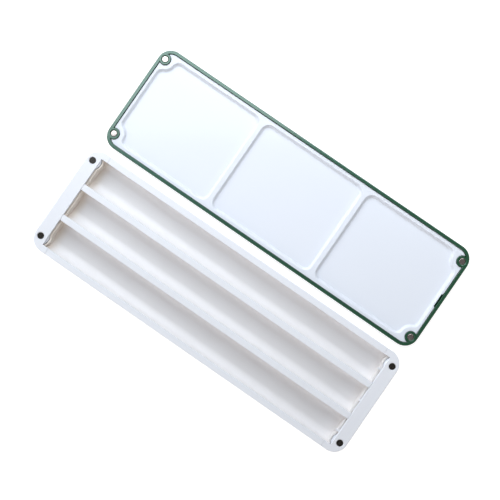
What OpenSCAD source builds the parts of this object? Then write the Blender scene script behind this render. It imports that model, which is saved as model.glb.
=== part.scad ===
// Paint palette: a low base with three round-bottomed channels and a shallow
// lid that carries a lift-out mixing tray.  Small disc magnets in the corners
// hold the lid shut.  The lid is shown off, open side up, beside the base.

/* [Channels] */
// Length of the channels between the two end frames
channel_l = 227.2; // [120:0.2:320]
// Width of one channel
channel_w = 19.7; // [14:0.1:30]
// Depth of a channel below the top face
channel_d = 10.4; // [8:0.1:16]
// Radius between a channel's side and its floor
channel_r = 6.5; // [2:0.1:7]
// Number of channels side by side
channel_count = 3; // [2:1:5]
// Width of the divider between two channels
divider_w = 4.3; // [3.6:0.1:8]
// Width of the rail along each long side
rail_w = 4.4; // [4:0.1:8]
// Wall thickness of the channel tray
trough_t = 1.4; // [1:0.1:1.7]

/* [Base] */
// Thickness of the base casing's outer wall
case_wall = 2; // [1.2:0.1:2.2]
// Thickness of the base casing's floor
case_floor = 2; // [1.2:0.1:4]
// Room between the channel tray and the casing's floor
floor_gap = 0.2; // [0.1:0.1:3]
// Thickness of the top layer: the rails and the end frames
top_t = 1.6; // [1.2:0.1:3]
// Radius of the corners seen from above
corner_r = 9.5; // [6:0.1:12]
// Radius of the outer edge at the underside of the base and of the lid
edge_r = 2; // [0.5:0.1:2.5]
// Radius of the outer edge at the open side
rim_r = 0.5; // [0.2:0.1:0.7]

/* [End frames] */
// Width of an end frame's cross bar
frame_w = 8.9; // [7:0.1:14]
// Length of the arm that an end frame reaches along each rail
arm_l = 4.5; // [2:0.1:8]
// Thickness of the channel tray's end walls
end_wall_t = 1; // [0.8:0.1:1.6]
// Room between an end wall and the end frame's inner edge
end_wall_gap = 0.4; // [0.3:0.1:2]
// Drop from the underside of the end frame to an end wall's top
end_wall_drop = 0.6; // [0.2:0.1:2]
// Length of the lip that an end wall turns out under the end frame
lip_l = 1.6; // [0.8:0.1:3]
// Drop from an end wall's top to its lip
lip_drop = 0.2; // [0.1:0.1:3]
// Width of a hold-down tab
tab_w = 1.3; // [0.8:0.1:3]
// Reach of an outer channel's tab past the end wall
tab_reach = 1.2; // [0.5:0.1:3]
// Length of a middle channel's tab
middle_tab_l = 0.9; // [0.5:0.1:2]
// Step from the top face down to a tab
tab_step = 0.3; // [0.1:0.1:0.6]
// Bevel along the end frame's inner edge
frame_bevel = 0.3; // [0.1:0.1:0.8]

/* [Magnets] */
// Diameter of a disc magnet
magnet_d = 4.2; // [3:0.1:5]
// Thickness of a disc magnet
magnet_h = 1.8; // [1:0.1:2.5]
// Distance from a short outer face to a magnet's centre
magnet_in_x = 4.4; // [4.2:0.1:7]
// Distance from a long outer face to a magnet's centre
magnet_in_y = 8.4; // [7:0.1:12]
// Depth of a magnet's face below its surround
magnet_recess = 0.25; // [0.1:0.05:0.8]
// Bevel at the mouth of a magnet's pocket
pocket_bevel = 0.3; // [0.1:0.05:0.5]
// Wall round a magnet in the end frame's plug
plug_wall = 1.2; // [0.8:0.1:2]
// Length of the plug below the end frame
plug_l = 4; // [3:0.1:6]
// Wall of the casing's boss round the plug
boss_wall = 2.1; // [1:0.1:2.5]
// Wall round a magnet in the lid's post
post_wall = 1.45; // [1.2:0.05:2.5]

/* [Lid] */
// Thickness of the lid's outer wall
lid_wall = 2.2; // [1.4:0.1:3]
// Thickness of the lid's floor
lid_floor = 4.2; // [1.2:0.1:5]

/* [Mixing tray] */
// Thickness of the mixing tray
sheet_t = 1; // [0.6:0.1:1.1]
// Depth of the wells
well_d = 2; // [1.6:0.1:8]
// Drop from the lid's rim to the tray's rim
tray_drop = 0.8; // [0.2:0.1:2]
// Length of the middle well
middle_well_l = 79.5; // [40:0.5:110]
// Width of the bridge between two wells
bridge_w = 2.5; // [1.5:0.1:6]
// Flat rim between a well and the tray's short edge
end_land = 1.3; // [1:0.1:4]
// Flat rim between a well and the tray's long edge
side_land = 1.9; // [1:0.1:5]
// Flat rim between a well and the post in the lid's corner
post_land = 2.2; // [0.6:0.1:3]
// Radius of the wells' plain corners seen from above
well_r = 6.2; // [5:0.1:12]
// Radius of the turns each side of a post
turn_r = 5.2; // [4:0.1:8]
// Radius of the crest where a well begins
crest_r = 1.2; // [1.2:0.1:2]
// Radius between a well's side and its floor
bowl_r = 1.2; // [0.6:0.1:2]
// Slope of a well's side
slope = 55; // [40:1:70]
// Length of the finger notch in the tray's edge
notch_l = 9.7; // [6:0.1:20]
// Depth of the finger notch
notch_w = 0.7; // [0.4:0.1:0.8]

/* [Clearances] */
// Room round the mixing tray
tray_gap = 0.3; // [0.2:0.05:0.5]
// Seam between the channel tray and the end frames
seam = 0.12; // [0.05:0.01:0.3]
// Room round a casing boss in the channel tray
boss_gap = 0.3; // [0.2:0.05:0.5]
// Room round a plug in its boss
plug_gap = 0.05; // [0.02:0.01:0.1]
// Room round a magnet in its pocket
pocket_gap = 0.15; // [0.05:0.05:0.3]
// Space between the base and the lid as they lie
lid_gap = 5.8; // [2:0.1:40]

/* [Hidden] */
$fn = 64;
over = 1; // how far a cut runs past the face that it opens

// Outline and heights
pitch = channel_w + divider_w;
inner_w = channel_count * pitch - divider_w;
body_l = channel_l + 2 * frame_w;
body_w = inner_w + 2 * rail_w;
base_h = case_floor + floor_gap + trough_t + channel_d;
case_h = base_h - top_t;
lid_h = lid_floor + sheet_t + well_d + tray_drop;
centre_y = (body_w + lid_gap) / 2;

// Places along the base
opening_x = channel_l / 2;
arm_x = opening_x - arm_l;
end_wall_x = opening_x - end_wall_gap;
magnet_x = body_l / 2 - magnet_in_x;
magnet_y = body_w / 2 - magnet_in_y;

// Round parts at the magnets
pocket_r = magnet_d / 2 + pocket_gap;
pocket_d = magnet_h + magnet_recess;
plug_r = pocket_r + plug_wall;
socket_r = plug_r + plug_gap;
boss_r = socket_r + boss_wall;
wrap_r = boss_r + boss_gap + end_wall_t;
post_r = pocket_r + post_wall;

// The channel's round can't be wider than the channel
round_r = min(channel_r, channel_w / 2 - 1);
floor_z = base_h - channel_d;
wall_top_z = case_h - end_wall_drop;

// Mixing tray and its wells
tray_l = body_l - 2 * (lid_wall + tray_gap);
tray_w = body_w - 2 * (lid_wall + tray_gap);
tray_top_z = lid_h - tray_drop;
well_x = tray_l / 2 - end_land;
well_y = tray_w / 2 - side_land;
outer_well_x = middle_well_l / 2 + bridge_w;
swerve_r = post_r + tray_gap + post_land;

// ---------------------------------------------------------------- helpers

module at_base() {
    translate([0, -centre_y, 0]) children();
}

module at_lid() {
    translate([0, centre_y, 0]) children();
}

// Right half of an upright section with a rounded lower and upper outer edge
module half_section(half, h, low_r, high_r) {
    translate([0, low_r]) square([half, h - low_r - high_r]);
    if (low_r > 0) {
        square([half - low_r, 2 * low_r]);
        translate([half - low_r, low_r]) circle(low_r);
    }
    if (high_r > 0) {
        translate([0, h - 2 * high_r]) square([half - high_r, 2 * high_r]);
        translate([half - high_r, h - high_r]) circle(high_r);
    }
}

module whole_section(half, h, low_r, high_r) {
    half_section(half, h, low_r, high_r);
    mirror([1, 0]) half_section(half, h, low_r, high_r);
}

// Block with round corners in plan and softened lower and upper edges
module soft_block(l, w, h, r, low_r, high_r) {
    for (sx = [-1, 1], sy = [-1, 1])
        translate([sx * (l / 2 - r), sy * (w / 2 - r), 0])
            rotate_extrude() half_section(r, h, low_r, high_r);
    rotate([90, 0, 90])
        linear_extrude(l - 2 * r, center = true) whole_section(w / 2, h, low_r, high_r);
    rotate([90, 0, 0])
        linear_extrude(w - 2 * r, center = true) whole_section(l / 2, h, low_r, high_r);
}

module round_plan(l, w, r) {
    square([l - 2 * r, w], center = true);
    square([l, w - 2 * r], center = true);
    for (sx = [-1, 1], sy = [-1, 1])
        translate([sx * (l / 2 - r), sy * (w / 2 - r)]) circle(r);
}

// Pocket for a magnet, sunk from the face at the given height
module pocket(face_z) {
    translate([0, 0, face_z - pocket_d]) cylinder(r = pocket_r, h = pocket_d + over);
    translate([0, 0, face_z - pocket_bevel])
        cylinder(r1 = pocket_r, r2 = pocket_r + pocket_bevel + over, h = pocket_bevel + over);
}

module at_magnets() {
    for (sx = [-1, 1], sy = [-1, 1])
        translate([sx * magnet_x, sy * magnet_y, 0]) children();
}

module at_channels() {
    for (i = [0 : channel_count - 1])
        translate([0, (i - (channel_count - 1) / 2) * pitch, 0]) children();
}

// The top layer of the base, which the rails and the end frames share
module top_layer() {
    translate([0, 0, case_h]) soft_block(body_l, body_w, top_t, corner_r, 0, rim_r);
}

// ---------------------------------------------------------------- base

module base_casing() {
    color("white") at_base() difference() {
        union() {
            difference() {
                soft_block(body_l, body_w, case_h, corner_r, edge_r, 0);
                translate([0, 0, case_floor]) linear_extrude(case_h)
                    round_plan(body_l - 2 * case_wall, body_w - 2 * case_wall,
                               corner_r - case_wall);
            }
            // bosses grow out of the floor and the end walls
            intersection() {
                at_magnets() translate([0, 0, case_floor / 2])
                    cylinder(r = boss_r, h = case_h - case_floor / 2);
                linear_extrude(case_h)
                    round_plan(body_l - case_wall, body_w - case_wall,
                               corner_r - case_wall / 2);
            }
        }
        at_magnets() translate([0, 0, case_h - plug_l - over])
            cylinder(r = socket_r, h = plug_l + 2 * over);
    }
}

// Section of one channel, grown outwards by a wall
module trough_section(wall, top_z) {
    half = channel_w / 2 + wall;
    r = round_r + wall;
    low = floor_z - wall;
    intersection() {
        union() {
            translate([-half, low + r]) square([2 * half, top_z]);
            translate([r - half, low]) square([2 * (half - r), r]);
            for (s = [-1, 1]) translate([s * (half - r), low + r]) circle(r);
        }
        translate([-half, low]) square([2 * half, top_z - low]);
    }
}

module trough(half_l, wall, top_z) {
    rotate([90, 0, 90])
        linear_extrude(2 * half_l, center = true) trough_section(wall, top_z);
}

// Shelled tray: its end walls step back round the casing's bosses
module channel_tray() {
    rail_l = 2 * (arm_x - seam);
    color("white") at_base() difference() {
        union() {
            intersection() {
                top_layer();
                translate([-rail_l / 2, -body_w, 0]) cube([rail_l, 2 * body_w, 2 * base_h]);
            }
            at_channels() trough(end_wall_x, trough_t, case_h);
            // lips under the end frames
            at_channels() translate([0, 0, wall_top_z - lip_drop - end_wall_t / 2])
                cube([2 * (end_wall_x + lip_l), channel_w, end_wall_t], center = true);
            for (i = [1 : channel_count - 1])
                translate([seam - opening_x, (i - channel_count / 2) * pitch - divider_w / 2,
                           case_h])
                    cube([2 * (opening_x - seam), divider_w, top_t]);
        }
        difference() {
            at_channels() trough(end_wall_x - end_wall_t, 0, base_h + over);
            at_magnets() cylinder(r = wrap_r, h = base_h + 2 * over);
        }
        // the end walls stop below the end frames
        for (side = [-1, 1]) at_channels()
            translate([side * (end_wall_x - wrap_r / 2) - wrap_r, -channel_w / 2, wall_top_z])
                cube([2 * wrap_r, channel_w, base_h]);
        // room for the arms and for the bosses
        for (side = [-1, 1], edge = [-1, 1])
            translate([side * (arm_x - seam + frame_w) - frame_w,
                       edge * (inner_w / 2 + rail_w) - rail_w, case_h - seam])
                cube([2 * frame_w, 2 * rail_w, base_h]);
        at_magnets() translate([0, 0, -over]) cylinder(r = boss_r + boss_gap, h = base_h);
    }
}

// Cross bar with two short arms, plugged into the casing's bosses
module end_frame() {
    at_base() difference() {
        union() {
            intersection() {
                top_layer();
                translate([arm_x, -body_w, 0]) cube([body_l, 2 * body_w, 2 * base_h]);
            }
            for (sy = [-1, 1]) translate([magnet_x, sy * magnet_y, case_h - plug_l])
                cylinder(r = plug_r, h = plug_l + top_t / 2);
        }
        // opening over the channels, bevelled along its edge
        rotate([90, 0, 0]) linear_extrude(inner_w, center = true)
            polygon([[0, 0], [opening_x, 0], [opening_x, base_h - frame_bevel],
                     [opening_x + frame_bevel + over, base_h + over], [0, base_h + over]]);
        for (sy = [-1, 1]) translate([magnet_x, sy * magnet_y, 0]) pocket(base_h);
    }
}

// Tabs at the right end that hold the channel tray's end walls down
module hold_down_tabs() {
    outer_tab_l = end_wall_gap + end_wall_t + tab_reach;
    at_base() difference() {
        for (i = [0 : channel_count - 1]) {
            outer = i == 0 || i == channel_count - 1;
            tab_l = outer ? outer_tab_l : middle_tab_l;
            translate([opening_x - tab_l, (i - (channel_count - 1) / 2) * pitch - tab_w / 2,
                       wall_top_z + seam])
                cube([2 * tab_l, tab_w, base_h - tab_step - wall_top_z - seam]);
        }
        at_magnets() cylinder(r = boss_r + seam, h = case_h);
    }
}

module left_end_frame() {
    color("white") mirror([1, 0, 0]) end_frame();
}

module right_end_frame() {
    color("white") {
        end_frame();
        hold_down_tabs();
    }
}

// Disc with a small bevel at both faces
module magnet() {
    r = magnet_d / 2;
    bevel = magnet_h / 10;
    rotate_extrude() polygon([[0, 0], [r - bevel, 0], [r, bevel], [r, magnet_h - bevel],
                              [r - bevel, magnet_h], [0, magnet_h]]);
}

module base_magnet(sx, sy) {
    color("dimgray") at_base()
        translate([sx * magnet_x, sy * magnet_y, base_h - pocket_d]) magnet();
}

// ---------------------------------------------------------------- lid

module lid_shell() {
    color("seagreen") at_lid() difference() {
        union() {
            difference() {
                soft_block(body_l, body_w, lid_h, corner_r, edge_r, rim_r);
                translate([0, 0, lid_floor]) linear_extrude(lid_h)
                    round_plan(body_l - 2 * lid_wall, body_w - 2 * lid_wall,
                               corner_r - lid_wall);
            }
            // posts stand on the floor and lean into the corners
            intersection() {
                at_magnets() translate([0, 0, lid_floor / 2])
                    cylinder(r = post_r, h = lid_h - lid_floor / 2);
                linear_extrude(lid_h)
                    round_plan(body_l - lid_wall, body_w - lid_wall, corner_r - lid_wall / 2);
            }
        }
        at_magnets() pocket(lid_h);
    }
}

module lid_magnet(sx, sy) {
    color("silver") at_lid()
        translate([sx * magnet_x, sy * magnet_y, lid_h - pocket_d]) magnet();
}

// Points along an arc, with or without its two ends
function arc(c, r, a0, a1, n, skip = 0) =
    [for (i = [skip : n - skip]) let (a = a0 + (a1 - a0) * i / n) c + r * [cos(a), sin(a)]];

function mirrored(points) =
    [for (i = [len(points) - 1 : -1 : 0]) [points[i][0], -points[i][1]]];

// Back half of the left well's outline, moved inwards by inset: a plain
// corner at the bridge, then two turns with the swerve round the post between
function outer_half(inset) =
    let (post = [-magnet_x, magnet_y],
         reach = swerve_r + turn_r,
         turn_1 = [post[0] + sqrt(pow(reach, 2) - pow(well_y - turn_r - magnet_y, 2)),
                   well_y - turn_r],
         turn_2 = [turn_r - well_x,
                   post[1] - sqrt(pow(reach, 2) - pow(turn_r - well_x + magnet_x, 2))],
         to_1 = turn_1 - post,
         to_2 = turn_2 - post,
         a1 = atan2(to_1[1], to_1[0]),
         a2 = atan2(to_2[1], to_2[0]))
    concat(arc([-outer_well_x - well_r, well_y - well_r], well_r - inset, 0, 90, 5),
           arc(turn_1, turn_r - inset, 90, a1 + 180, 4),
           arc(post, swerve_r + inset, a1, a2, 5, 1),
           arc(turn_2, turn_r - inset, a2 + 180, 180, 4));

function middle_half(inset) =
    let (x = middle_well_l / 2 - well_r, y = well_y - well_r, r = well_r - inset)
    concat(arc([x, y], r, 0, 90, 5), arc([-x, y], r, 90, 180, 5));

function outline(middle, inset) =
    let (half = middle ? middle_half(inset) : outer_half(inset))
    concat(half, mirrored(half));

// The side of a well from crest to floor, as [inset, depth, slope] steps
side_steps = 3;
side_run = let (arcs = crest_r + bowl_r)
    arcs * sin(slope) + (well_d - arcs * (1 - cos(slope))) / tan(slope);
side = concat(
    [for (i = [0 : side_steps]) let (a = slope * i / side_steps)
        [crest_r * sin(a), crest_r * (1 - cos(a)), a]],
    [for (i = [side_steps : -1 : 0]) let (a = slope * i / side_steps)
        [side_run - bowl_r * sin(a), well_d - bowl_r * (1 - cos(a)), a]]);

// Closed solid under the well's surface offset downwards by t, capped at cap_z
module well_form(middle, t, cap_z) {
    rings = concat(
        [[for (p = outline(middle, 0)) [p[0], p[1], cap_z]]],
        [for (s = side) [for (p = outline(middle, s[0] - t * sin(s[2])))
            [p[0], p[1], tray_top_z - s[1] - t * cos(s[2])]]]);
    n = len(rings[0]);
    m = len(rings);
    quads = [for (k = [0 : m - 2], i = [0 : n - 1]) let (j = (i + 1) % n)
        [k * n + i, k * n + j, (k + 1) * n + j, (k + 1) * n + i]];
    top = [for (i = [n - 1 : -1 : 0]) i];
    bottom = [for (i = [0 : n - 1]) (m - 1) * n + i];
    polyhedron([for (ring = rings, p = ring) p], concat(quads, [top, bottom]), convexity = 4);
}

module well_forms(t, cap_z) {
    well_form(true, t, cap_z);
    well_form(false, t, cap_z);
    mirror([1, 0, 0]) well_form(false, t, cap_z);
}

module tray_plan() {
    difference() {
        round_plan(tray_l, tray_w, corner_r - lid_wall - tray_gap);
        at_magnets() circle(post_r + tray_gap);
        translate([tray_l / 2 - notch_w, -notch_l / 2]) square([notch_w + over, notch_l]);
    }
}

module mixing_tray() {
    color("white") at_lid() difference() {
        union() {
            translate([0, 0, tray_top_z - sheet_t]) linear_extrude(sheet_t) tray_plan();
            well_forms(sheet_t, tray_top_z - sheet_t / 2);
        }
        well_forms(0, tray_top_z + over);
    }
}

// ---------------------------------------------------------------- nodes

base_casing();
channel_tray();
left_end_frame();
right_end_frame();
base_magnet(-1, -1);  // base_magnet_left_front
base_magnet(-1, 1);  // base_magnet_left_back
base_magnet(1, -1);  // base_magnet_right_front
base_magnet(1, 1);  // base_magnet_right_back
lid_shell();
mixing_tray();
lid_magnet(-1, -1);  // lid_magnet_left_front
lid_magnet(-1, 1);  // lid_magnet_left_back
lid_magnet(1, -1);  // lid_magnet_right_front
lid_magnet(1, 1);  // lid_magnet_right_back
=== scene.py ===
import math

import bmesh
import bpy
from mathutils import Matrix, Vector
from mathutils.geometry import delaunay_2d_cdt


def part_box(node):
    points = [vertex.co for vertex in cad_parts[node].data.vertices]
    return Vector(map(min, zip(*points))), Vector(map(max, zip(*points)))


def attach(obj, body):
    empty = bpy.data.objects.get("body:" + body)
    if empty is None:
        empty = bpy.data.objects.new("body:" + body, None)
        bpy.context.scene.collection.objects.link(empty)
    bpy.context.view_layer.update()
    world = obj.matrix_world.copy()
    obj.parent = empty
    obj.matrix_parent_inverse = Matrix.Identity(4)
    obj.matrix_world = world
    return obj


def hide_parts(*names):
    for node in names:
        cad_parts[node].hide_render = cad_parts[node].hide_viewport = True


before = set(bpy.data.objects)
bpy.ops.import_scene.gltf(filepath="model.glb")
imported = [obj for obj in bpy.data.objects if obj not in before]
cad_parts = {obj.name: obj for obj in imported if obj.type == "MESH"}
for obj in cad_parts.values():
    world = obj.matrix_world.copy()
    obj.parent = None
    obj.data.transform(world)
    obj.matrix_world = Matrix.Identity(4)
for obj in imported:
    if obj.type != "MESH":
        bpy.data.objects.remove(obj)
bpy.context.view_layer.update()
scene = bpy.context.scene
mm = 0.001


# ---------------------------------------------------------------- camera
# The set is seen from nearly straight above and turned on the page, so that
# the long sides run from the upper left to the lower right.

camera_place = Vector((20.3, -7.2, 597.5)) * mm
camera_aim = Vector((-0.0349, 0.0101, -0.9993)).normalized()
camera_top = Vector((-0.5661, 0.8239, 0.028))
film_width = 36
lens_length = 64.8
nearest_view = 10 * mm

camera = bpy.data.objects.new("camera", bpy.data.cameras.new("camera"))
scene.collection.objects.link(camera)
scene.camera = camera
camera.data.sensor_width = film_width
camera.data.lens = lens_length
camera.data.clip_start = nearest_view
side_axis = camera_aim.cross(camera_top).normalized()
top_axis = side_axis.cross(camera_aim)
camera.matrix_world = (Matrix.Translation(camera_place)
                       @ Matrix((side_axis, top_axis, -camera_aim)).transposed().to_4x4())


# ---------------------------------------------------------------- table
# A plain white sheet of card under the set, wide enough to reach the skyline.
# It glows a little, so that it stays pale right up to the palette.


class Wire:
    """A socket in a node tree.  Arithmetic adds Math nodes, add() any other node."""

    def __init__(self, tree, socket=None):
        self.tree = tree
        self.socket = socket

    def add(self, kind, settings, inputs, output=0):
        node = self.tree.nodes.new(kind)
        for name, value in settings.items():
            if name == "stops":
                colours = node.color_ramp.elements
                for step, (place, colour) in enumerate(value):
                    stop = colours[step] if step < len(colours) else colours.new(place)
                    stop.position = place
                    stop.color = colour
            else:
                setattr(node, name, value)
        for key, value in inputs.items():
            if isinstance(value, Wire):
                self.tree.links.new(value.socket, node.inputs[key])
            else:
                node.inputs[key].default_value = value
        return Wire(self.tree, node.outputs[output])

    def maths(self, operation, *values):
        return self.add("ShaderNodeMath", {"operation": operation}, dict(enumerate(values)))

    def __add__(self, other):
        return self.maths("ADD", self, other)

    def __sub__(self, other):
        return self.maths("SUBTRACT", self, other)

    def __rsub__(self, other):
        return self.maths("SUBTRACT", other, self)

    def __mul__(self, other):
        return self.maths("MULTIPLY", self, other)

    def __truediv__(self, other):
        return self.maths("DIVIDE", self, other)

    __radd__ = __add__
    __rmul__ = __mul__


def new_material(name):
    """A material, the place on the piece as a wire, and the surface shader's sockets."""
    material = bpy.data.materials.new(name)
    material.use_nodes = True
    wires = Wire(material.node_tree)
    place = wires.add("ShaderNodeTexCoord", {}, {}, "Object")
    return material, place, material.node_tree.nodes["Principled BSDF"].inputs


def noise(place, scale, detail=3.0, stretch=(1, 1, 1), roughness=0.5):
    """Noise from 0 to 1 at a scale in waves per metre, drawn out along any axis."""
    drawn = place.add("ShaderNodeVectorMath", {"operation": "MULTIPLY"},
                      {0: place, 1: stretch})
    return place.add("ShaderNodeTexNoise", {},
                     {"Vector": drawn, "Scale": scale, "Detail": detail,
                      "Roughness": roughness}, "Fac")


def tint(place, mask, first, second):
    """Colour between two others by a mask."""
    return place.add("ShaderNodeMix", {"data_type": "RGBA"},
                     {0: mask, 6: (*first, 1), 7: (*second, 1)}, 2)


def feed(surface, name, wire):
    """Joins a wire to one of the surface's inputs."""
    wire.tree.links.new(wire.socket, surface[name])


table_reach = 12
table_gap = 0.02 * mm
card_dull = (0.50, 0.50, 0.50)
card_pale = (0.53, 0.53, 0.53)
fibre_waves = 900
card_roughness = 0.9
card_shine = 0.1
card_glow = 0.82

card, card_place, card_surface = new_material("white_card")
card_fibres = noise(card_place, fibre_waves, 4)
feed(card_surface, "Base Color", tint(card_place, card_fibres, card_dull, card_pale))
card_surface["Roughness"].default_value = card_roughness
card_surface["Specular IOR Level"].default_value = card_shine
card_surface["Emission Color"].default_value = (1, 1, 1, 1)
card_surface["Emission Strength"].default_value = card_glow
sheet = bpy.data.meshes.new("table")
sheet.from_pydata([(x * table_reach, y * table_reach, -table_gap)
                   for x, y in ((-1, -1), (1, -1), (1, 1), (-1, 1))], [], [(0, 1, 2, 3)])
sheet.materials.append(card)
table = bpy.data.objects.new("table", sheet)
scene.collection.objects.link(table)


# ---------------------------------------------------------------- lights
# A wide softbox stands beyond the lid, and a narrow one hangs almost overhead.
# The room is pale on the near side and dark beyond the right end, so walls
# that face that end turn warm and dull.  A pale band runs round the skyline.

scene.view_settings.view_transform = "Standard"
light_heading = Vector((-0.565, 0.824, 0))
light_distance = 0.6
light_width = 0.9


def softbox(name, lowest, highest, power, colour):
    """A softbox that fills the sky between two heights, in degrees, and faces the set."""
    lamp = bpy.data.lights.new(name, "AREA")
    lamp.shape = "RECTANGLE"
    lamp.size = light_width
    lamp.size_y = 2 * light_distance * math.tan(math.radians((highest - lowest) / 2))
    lamp.energy = power
    lamp.color = colour
    stand = bpy.data.objects.new(name, lamp)
    scene.collection.objects.link(stand)
    rise = math.radians((lowest + highest) / 2)
    towards = light_heading * math.cos(rise) + Vector((0, 0, math.sin(rise)))
    across = Vector((0, 0, 1)).cross(towards).normalized()
    turn = Matrix((across, towards.cross(across), towards)).transposed().to_4x4()
    stand.matrix_world = Matrix.Translation(towards * light_distance) @ turn


softbox("wide_softbox", lowest=25, highest=50, power=3.4, colour=(0.85, 0.92, 0.98))
softbox("overhead_softbox", lowest=60, highest=74.3, power=1.5, colour=(0.89, 0.95, 0.98))

pale_side = (-0.35, -0.94, 0)
pale_swing = 0.7
pale_middle = 0.5
room_strength = 2.1
skyline = (0.46, 0.46, 0.46, 1)
world = bpy.data.worlds.new("room")
scene.world = world
world.use_nodes = True
room = Wire(world.node_tree)
outward = room.add("ShaderNodeTexCoord", {}, {}, "Generated")
heading = room.add("ShaderNodeVectorMath", {"operation": "MULTIPLY"},
                   {0: outward, 1: (1, 1, 0)})
heading = room.add("ShaderNodeVectorMath", {"operation": "NORMALIZE"}, {0: heading})
paleness = room.add("ShaderNodeVectorMath", {"operation": "DOT_PRODUCT"},
                    {0: heading, 1: pale_side}, "Value")
elevation = room.add("ShaderNodeSeparateXYZ", {}, {0: outward}, "Z")
pale_walls = room.add("ShaderNodeValToRGB",
                      {"stops": [(0.07, skyline), (0.14, (0.15, 0.14, 0.14, 1)),
                                 (0.25, (0.36, 0.33, 0.30, 1)),
                                 (0.5, (0.92, 0.88, 0.84, 1)), (0.75, (0.05, 0.05, 0.05, 1)),
                                 (0.92, (0.12, 0.12, 0.13, 1))]}, {0: elevation})
dark_walls = room.add("ShaderNodeValToRGB",
                      {"stops": [(0.07, skyline), (0.14, (0.08, 0.05, 0.03, 1)),
                                 (0.75, (0.05, 0.04, 0.03, 1)),
                                 (0.92, (0.06, 0.055, 0.055, 1))]}, {0: elevation})
walls = room.add("ShaderNodeMix", {"data_type": "RGBA"},
                 {0: paleness * pale_swing + pale_middle, 6: dark_walls, 7: pale_walls}, 2)
background = world.node_tree.nodes["Background"]
world.node_tree.links.new(walls.socket, background.inputs["Color"])
background.inputs["Strength"].default_value = room_strength


# ---------------------------------------------------------------- base casing
# The white tub under the channels, injection moulded in satin ABS.  Its bosses
# for the end frames' plugs are moulded with it, and every edge is eased a
# little, which leaves a fine parting line under the rails.

casing_ease = 0.15 * mm
ease_steps = 2
sharp_corner = math.radians(30)
flat_corner = math.radians(0.5)
weld_distance = 0.002 * mm
white_plastic = (0.83, 0.86, 0.93)
white_plastic_low = (0.78, 0.805, 0.865)
flow_waves = 35
scuff_waves = 420
speck_waves = 1400
grain_waves = 2600
grain_strength = 0.25
plastic_ior = 1.53


def merged(node):
    """A copy of a CAD node's mesh with its loose triangles joined into whole faces."""
    mesh = bmesh.new()
    mesh.from_mesh(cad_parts[node].data)
    bmesh.ops.remove_doubles(mesh, verts=mesh.verts, dist=weld_distance)
    bmesh.ops.dissolve_limit(mesh, angle_limit=flat_corner,
                             verts=mesh.verts, edges=mesh.edges)
    return mesh


def plain_mesh(piece):
    """Turns a piece and its modifiers into a plain mesh."""
    bpy.context.view_layer.update()
    seen = bpy.context.evaluated_depsgraph_get()
    piece.data = bpy.data.meshes.new_from_object(piece.evaluated_get(seen))
    piece.modifiers.clear()


def eased(name, mesh, body, slot, material, ease, *nodes):
    """A moulded piece with its sharp edges eased; it rides a body and stands for nodes."""
    for face in mesh.faces:
        face.smooth = True
        face.material_index = 0
    shape = bpy.data.meshes.new(name)
    mesh.to_mesh(shape)
    mesh.free()
    shape.materials.append(material)
    piece = bpy.data.objects.new(name, shape)
    scene.collection.objects.link(piece)
    bevel = piece.modifiers.new("ease", "BEVEL")
    bevel.width = ease
    bevel.segments = ease_steps
    bevel.angle_limit = sharp_corner
    bevel.use_clamp_overlap = False
    piece.modifiers.new("shading", "WEIGHTED_NORMAL")
    plain_mesh(piece)
    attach(piece, body)
    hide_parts(*nodes)


def moulded_plastic(name, colour, low_colour, roughness, gloss_spread, grain, shine=0.5,
                    painted_shade=None):
    """Moulded plastic: faint flow marks, soft scuffs along X, a fine grain, maybe painted shade.
    """
    material, place, surface = new_material(name)
    flow = noise(place, flow_waves, 2, (0.5, 1, 1))
    speck = noise(place, speck_waves, 2)
    scuffs = noise(place, scuff_waves, 3, (0.15, 1, 1), 0.6)
    paint = tint(place, flow * 0.7 + speck * 0.3, low_colour, colour)
    # Painted shade, where given, is laid over the colour.
    feed(surface, "Base Color", painted_shade(place, paint) if painted_shade else paint)
    feed(surface, "Roughness", roughness - gloss_spread / 2 + scuffs * gloss_spread)
    bump = place.add("ShaderNodeBump", {},
                     {"Strength": grain_strength, "Distance": grain,
                      "Height": noise(place, grain_waves, 3) + flow * 2})
    feed(surface, "Normal", bump)
    surface["IOR"].default_value = plastic_ior
    surface["Specular IOR Level"].default_value = shine
    return material


casing_plastic = moulded_plastic("casing_plastic", white_plastic, white_plastic_low,
                                 roughness=0.42, gloss_spread=0.1, grain=0.01 * mm)
eased("casing", merged("base_casing"), "base", "base_shell", casing_plastic, casing_ease,
      "base_casing")


# ---------------------------------------------------------------- channel tray
# One moulding in the same white plastic, polished inside the channels, with
# rails and dividers on top and end walls that step round the bosses.

channel_ease = 0.12 * mm
channel_low, channel_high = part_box("channel_tray")
# Painted shade: below the rim the channels' insides get a warmer grey for the warm bounce light
# in them.
shade_edge = 0.6 * mm
# Painted shade: tan on the end walls' insides for their warm shade, mostly at the left end,
# which faces away from the light.
end_shade_reach = 9 * mm
shade_wander = 3 * mm
shade_waves = 200
inside_shade_colour = (0.81, 0.805, 0.825)
end_shade_colour = (0.80, 0.73, 0.66)
right_end_share = 0.2


def ramp(wire, start, end):
    """Smooth step of a wire, from 0 at the start to 1 at the end."""
    return wire.add("ShaderNodeMapRange", {"interpolation_type": "SMOOTHSTEP"},
                    {"Value": wire, "From Min": start, "From Max": end})


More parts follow.
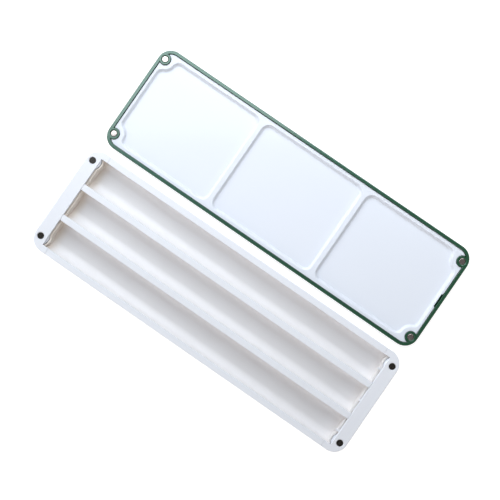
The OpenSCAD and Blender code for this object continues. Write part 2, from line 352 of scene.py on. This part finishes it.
def painted_channel_shade(place, paint):
    """Painted shade: a warmer grey inside the channels for their bounce light, and tan at the
    ends for the end walls' warm shade, mostly at the left end.
    """
    along = place.add("ShaderNodeSeparateXYZ", {}, {0: place}, "X")
    height = place.add("ShaderNodeSeparateXYZ", {}, {0: place}, "Z")
    inside = ramp(height, channel_high.z, channel_high.z - shade_edge)
    ragged = noise(place, shade_waves) * shade_wander
    left = ramp(along - ragged, channel_low.x + end_shade_reach, channel_low.x)
    right = ramp(along + ragged, channel_high.x - end_shade_reach, channel_high.x)
    ends = left + right * right_end_share
    shaded_inside = place.add("ShaderNodeMix", {"data_type": "RGBA"},
                       {0: inside, 6: paint, 7: (*inside_shade_colour, 1)}, 2)
    return place.add("ShaderNodeMix", {"data_type": "RGBA"},
                     {0: inside * ends, 6: shaded_inside, 7: (*end_shade_colour, 1)}, 2)


# The channels' insides and ends carry painted warm shade.
tray_plastic = moulded_plastic("tray_plastic", white_plastic, white_plastic_low,
                               roughness=0.33, gloss_spread=0.1, grain=0.006 * mm,
                               painted_shade=painted_channel_shade)
eased("channels", merged("channel_tray"), "base", "channel_tray", tray_plastic, channel_ease,
      "channel_tray")


# ---------------------------------------------------------------- end frames
# Two flat bars of the same plastic, each with two short arms, pressed into the
# casing's bosses over the ends of the channels.  Tabs on the right one hold
# the channel tray down.

frame_ease = 0.12 * mm
frame_plastic = moulded_plastic("frame_plastic", white_plastic, white_plastic_low,
                                roughness=0.4, gloss_spread=0.1, grain=0.01 * mm)
for side in ("left", "right"):
    node = side + "_end_frame"
    eased(side + "_frame", merged(node), "base", "end_frames", frame_plastic, frame_ease, node)


# ---------------------------------------------------------------- lid shell
# The shallow lid, moulded in dark green ABS, satin outside.  The rim and the
# tops of its posts come off the mould's polished land.

lid_ease = 0.2 * mm
lid_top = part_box("lid_shell")[1].z
polished_rim = 0.5 * mm
lid_green = (0.007, 0.066, 0.024)
lid_green_low = (0.006, 0.054, 0.019)
lid_sheen = (0.55, 1.0, 0.95, 1)
polish_roughness = 0.13
polish_ior = 1.65

lid_plastic = moulded_plastic("lid_plastic", lid_green, lid_green_low,
                              roughness=0.3, gloss_spread=0.1, grain=0.006 * mm, shine=0.7)
lid_surface = lid_plastic.node_tree.nodes["Principled BSDF"].inputs
lid_surface["Specular Tint"].default_value = lid_sheen
lid_surface["Coat Roughness"].default_value = polish_roughness
lid_surface["Coat IOR"].default_value = polish_ior
lid_place = Wire(lid_plastic.node_tree).add("ShaderNodeTexCoord", {}, {}, "Object")
lid_height = lid_place.add("ShaderNodeSeparateXYZ", {}, {0: lid_place}, "Z")
feed(lid_surface, "Coat Weight",
     ramp(lid_height, lid_top - 2 * polished_rim, lid_top - polished_rim))
eased("lid", merged("lid_shell"), "lid", "lid_shell", lid_plastic, lid_ease, "lid_shell")


# ---------------------------------------------------------------- mixing tray
# A glossy white sheet, 1 mm thick, pressed into three wells; it lies loose in
# the lid and is prised out at the notch.  Each well is lofted down from its
# outline, and the corners swerve round the lid's posts.

tray_low, tray_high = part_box("mixing_tray")
tray_middle = (tray_low + tray_high) / 2
tray_length, tray_width = (tray_high - tray_low).xy
post_low, post_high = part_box("lid_magnet_right_back")
post_place = ((post_low + post_high) / 2 - tray_middle).xy
sheet_thickness = 1 * mm
well_depth = tray_high.z - tray_low.z - sheet_thickness
tray_corner = 7 * mm
post_room = 4 * mm
end_rim = 1.3 * mm
side_rim = 1.9 * mm
well_end = tray_length / 2 - end_rim
well_side = tray_width / 2 - side_rim
middle_well_end = 39.75 * mm
outer_well_start = 42.25 * mm
well_corner = 6.2 * mm
turn_radius = 5.2 * mm
swerve_radius = 6.2 * mm
crest_radius = 0.6 * mm
bowl_radius = 1.2 * mm
under_crest_radius = 0.15 * mm
side_slope = math.radians(55)
notch_length = 9.7 * mm
notch_depth = 0.9 * mm
tray_ease = 0.12 * mm
sheet_white = (0.795, 0.835, 0.92)
sheet_white_low = (0.77, 0.81, 0.895)
quarter_turn = math.pi / 2
turn_steps = 9
corner_steps = 10
post_steps = 16
slope_steps = 6


def arc(centre, radius, start, end, steps, skip=0):
    """Points along an arc of the plan, with or without its two ends."""
    turns = [start + (end - start) * step / steps for step in range(skip, steps + 1 - skip)]
    return [(centre[0] + radius * math.cos(turn), centre[1] + radius * math.sin(turn))
            for turn in turns]


def outer_well_half(inset):
    """Back half of the right well's outline: end turn, swerve round the post, plain corner."""
    reach = swerve_radius + turn_radius
    end_turn_x = well_end - turn_radius
    side_turn_y = well_side - turn_radius
    end_turn = Vector((end_turn_x, post_place.y - math.sqrt(
        reach ** 2 - (end_turn_x - post_place.x) ** 2)))
    side_turn = Vector((post_place.x - math.sqrt(
        reach ** 2 - (side_turn_y - post_place.y) ** 2), side_turn_y))
    to_end, to_side = end_turn - post_place, side_turn - post_place
    end_angle = math.atan2(to_end.y, to_end.x)
    side_angle = math.atan2(to_side.y, to_side.x)
    return (arc(end_turn, turn_radius - inset, 0, end_angle + math.pi, turn_steps)
            + arc(post_place, swerve_radius + inset, end_angle, side_angle, corner_steps, 1)
            + arc(side_turn, turn_radius - inset, side_angle + math.pi, quarter_turn, turn_steps)
            + arc((outer_well_start + well_corner, well_side - well_corner),
                  well_corner - inset, quarter_turn, 2 * quarter_turn, corner_steps))


def middle_well_half(inset):
    """Back half of the middle well's outline."""
    x, y = middle_well_end - well_corner, well_side - well_corner
    return (arc((x, y), well_corner - inset, 0, quarter_turn, corner_steps)
            + arc((-x, y), well_corner - inset, quarter_turn, 2 * quarter_turn, corner_steps))


def closed(half):
    """A whole outline from its back half."""
    return half + [(x, -y) for x, y in reversed(half)]


def turned(outline):
    """An outline mirrored to the other end of the tray, still running the same way."""
    return [(-x, y) for x, y in reversed(outline)]


well_outlines = [lambda inset: closed(middle_well_half(inset)),
                 lambda inset: closed(outer_well_half(inset)),
                 lambda inset: turned(closed(outer_well_half(inset)))]


def tray_plan():
    """The sheet's own outline: round corners cut away for the posts, and one notch."""
    half_x, half_y = tray_length / 2, tray_width / 2
    corner = Vector((half_x - tray_corner, half_y - tray_corner))
    apart = (post_place - corner).length
    along = (tray_corner ** 2 - post_room ** 2 + apart ** 2) / (2 * apart)
    aside = math.sqrt(tray_corner ** 2 - along ** 2)
    aim = (post_place - corner) / apart
    crossing = corner + aim * along + Vector((-aim.y, aim.x)) * aside
    lowest = Vector((half_x, post_place.y - math.sqrt(
        post_room ** 2 - (half_x - post_place.x) ** 2)))
    start = math.atan2(*(lowest - post_place).yx)
    end = math.atan2(*(crossing - post_place).yx) - 2 * math.pi
    quarter = (arc(post_place, post_room, start, end, post_steps)
               + arc(corner, tray_corner, math.atan2(*(crossing - corner).yx),
                     quarter_turn, corner_steps // 2, 1) + [(corner.x, half_y)])
    back = quarter + [(-x, y) for x, y in reversed(quarter)]
    notch = [(half_x, -notch_length / 2), (half_x - notch_depth, -notch_length / 2),
             (half_x - notch_depth, notch_length / 2), (half_x, notch_length / 2)]
    return notch + back + [(-x, -y) for x, y in back]


def side_steps(crest, bowl, lead, level):
    """(inset, depth) down a well's side, from the flat rim round the crest and the bowl."""
    arcs = crest + bowl
    run = (arcs * math.sin(side_slope)
           + (well_depth - arcs * (1 - math.cos(side_slope))) / math.tan(side_slope))
    angles = [side_slope * step / slope_steps for step in range(slope_steps + 1)]
    return ([(lead + crest * math.sin(turn), level + crest * (1 - math.cos(turn)))
             for turn in angles]
            + [(lead + run - bowl * math.sin(turn),
                level + well_depth - bowl * (1 - math.cos(turn)))
               for turn in reversed(angles)])


def loop(mesh, outline, depth):
    """A closed loop of points at a depth below the tray's rim."""
    return [mesh.verts.new((tray_middle.x + x, tray_middle.y + y, tray_high.z - depth))
            for x, y in outline]


def band(mesh, first, second):
    """Faces between two loops of the same number of points."""
    for i in range(len(first)):
        mesh.faces.new((first[i - 1], first[i], second[i], second[i - 1]))


def within(spot, ring):
    """Whether a spot of the plan lies inside a loop of points."""
    crossings = 0
    for i in range(len(ring)):
        a, b = ring[i - 1].co, ring[i].co
        if (a.y > spot.y) != (b.y > spot.y):
            crossings += spot.x < a.x + (spot.y - a.y) / (b.y - a.y) * (b.x - a.x)
    return crossings % 2 == 1


def flat_between(mesh, loops):
    """Fills the flat between an outer loop and the loops inside it."""
    points = [point for ring in loops for point in ring]
    edges = []
    for ring in loops:
        first = len(edges)
        edges += [(first + i, first + (i + 1) % len(ring)) for i in range(len(ring))]
    faces = delaunay_2d_cdt([point.co.xy / mm for point in points], edges, [], 1, 0.001)[2]
    for face in faces:
        corners = [points[i] for i in face]
        middle = sum((corner.co for corner in corners), Vector()) / len(corners)
        if not any(within(middle, ring) for ring in loops[1:]):
            mesh.faces.new(corners)


wells = bmesh.new()
rims = []
for level, crest, bowl, lead in (
        (0, crest_radius, bowl_radius, 0),
        (sheet_thickness, under_crest_radius, bowl_radius + sheet_thickness,
         (crest_radius - sheet_thickness - under_crest_radius) * math.tan(side_slope / 2))):
    edges = [loop(wells, tray_plan(), level)]
    rims.append(edges[0])
    for outline in well_outlines:
        above = None
        for inset, depth in side_steps(crest, bowl, lead, level):
            ring = loop(wells, outline(inset), depth)
            if above is None:
                edges.append(ring)
            else:
                band(wells, above, ring)
            above = ring
        wells.faces.new(above)
    flat_between(wells, edges)
band(wells, *rims)
bmesh.ops.recalc_face_normals(wells, faces=wells.faces)
sheet_plastic = moulded_plastic("sheet_plastic", sheet_white, sheet_white_low,
                                roughness=0.1, gloss_spread=0.04, grain=0.002 * mm, shine=0.14)
eased("wells", wells, "mixing_tray", "mixing_tray", sheet_plastic, tray_ease, "mixing_tray")


# ---------------------------------------------------------------- magnets
# Small discs pressed into the pockets and held by a drop of glue: black epoxy
# coated ones in the base, nickel-plated ones in the lid.  One tree turns a
# point for each magnet into a disc with a bevelled rim.

black_rim = 0.15 * mm
nickel_rim = 0.35 * mm
disc_facets = 48
disc_rows = 3
scratch_waves = 1500
blotch_waves = 500
scratch_depth = 0.01 * mm
scratch_strength = 0.2
scratch_dulling = 0.15


def disc_tree():
    """Geometry Nodes tree that puts a bevelled disc at every point of its mesh."""
    tree = bpy.data.node_groups.new("disc_magnets", "GeometryNodeTree")
    tree.interface.new_socket("Geometry", in_out="OUTPUT", socket_type="NodeSocketGeometry")
    for label, kind in (("Places", "Geometry"), ("Radius", "Float"), ("Thickness", "Float"),
                        ("Rim", "Float"), ("Coating", "Material")):
        tree.interface.new_socket(label, in_out="INPUT", socket_type="NodeSocket" + kind)
    entry = tree.nodes.new("NodeGroupInput").outputs
    places, radius, thickness, rim, coating = (Wire(tree, entry[i]) for i in range(5))
    disc = places.add("GeometryNodeMeshCylinder", {},
                      {"Vertices": disc_facets, "Side Segments": disc_rows, "Radius": radius,
                       "Depth": thickness}, "Mesh")
    place = places.add("GeometryNodeInputPosition", {}, {})
    z = places.add("ShaderNodeSeparateXYZ", {}, {0: place}, "Z")
    at_face = places.maths("GREATER_THAN", places.maths("ABSOLUTE", z), thickness / disc_rows)
    across = 1 - at_face * rim / radius
    # The loops inside the two faces move out to where the rim's bevel starts.
    upright = at_face + (1 - at_face) * (disc_rows - rim * 2 * disc_rows / thickness)
    spread = places.add("ShaderNodeCombineXYZ", {}, {0: across, 1: across, 2: upright})
    shaped = places.add("ShaderNodeVectorMath", {"operation": "MULTIPLY"},
                        {0: place, 1: spread})
    disc = places.add("GeometryNodeSetPosition", {}, {"Geometry": disc, "Position": shaped})
    discs = places.add("GeometryNodeInstanceOnPoints", {}, {"Points": places, "Instance": disc})
    discs = places.add("GeometryNodeRealizeInstances", {}, {"Geometry": discs})
    discs = places.add("GeometryNodeSetMaterial", {}, {"Geometry": discs, "Material": coating})
    leave = tree.nodes.new("NodeGroupOutput")
    tree.links.new(discs.socket, leave.inputs[0])
    return tree


def magnet_finish(name, colour, dark_colour, metallic, roughness):
    """A plated or coated disc, blotched and finely scratched."""
    material, place, surface = new_material(name)
    scratches = noise(place, scratch_waves, 4, (1, 0.2, 1), 0.7)
    blotches = noise(place, blotch_waves, 2)
    feed(surface, "Base Color", tint(place, blotches, dark_colour, colour))
    feed(surface, "Roughness", roughness + scratches * scratch_dulling)
    bump = place.add("ShaderNodeBump", {},
                     {"Strength": scratch_strength, "Distance": scratch_depth,
                      "Height": scratches})
    feed(surface, "Normal", bump)
    surface["Metallic"].default_value = metallic
    return material


disc_magnets = disc_tree()
disc_inputs = {item.name: item.identifier for item in disc_magnets.interface.items_tree
               if item.in_out == "INPUT"}
black = magnet_finish("black_coating", colour=(0.022, 0.020, 0.015),
                      dark_colour=(0.012, 0.010, 0.008), metallic=0, roughness=0.2)
nickel = magnet_finish("nickel_plating", colour=(0.70, 0.63, 0.61),
                       dark_colour=(0.58, 0.52, 0.50), metallic=1, roughness=0.1)
for part, coating, rim in (("base", black, black_rim), ("lid", nickel, nickel_rim)):
    nodes = [f"{part}_magnet_{end}_{edge}" for end in ("left", "right")
             for edge in ("front", "back")]
    boxes = [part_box(node) for node in nodes]
    places = bpy.data.meshes.new(part + "_magnets")
    places.from_pydata([(low + high) / 2 for low, high in boxes], [], [])
    magnets = bpy.data.objects.new(part + "_magnets", places)
    scene.collection.objects.link(magnets)
    growth = magnets.modifiers.new("discs", "NODES")
    growth.node_group = disc_magnets
    size = boxes[0][1] - boxes[0][0]
    for label, value in (("Radius", size.x / 2), ("Thickness", size.z),
                         ("Rim", rim), ("Coating", coating)):
        growth[disc_inputs[label]] = value
    magnets.modifiers.new("shading", "WEIGHTED_NORMAL")
    plain_mesh(magnets)
    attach(magnets, part)
    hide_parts(*nodes)
    part + "_magnets"
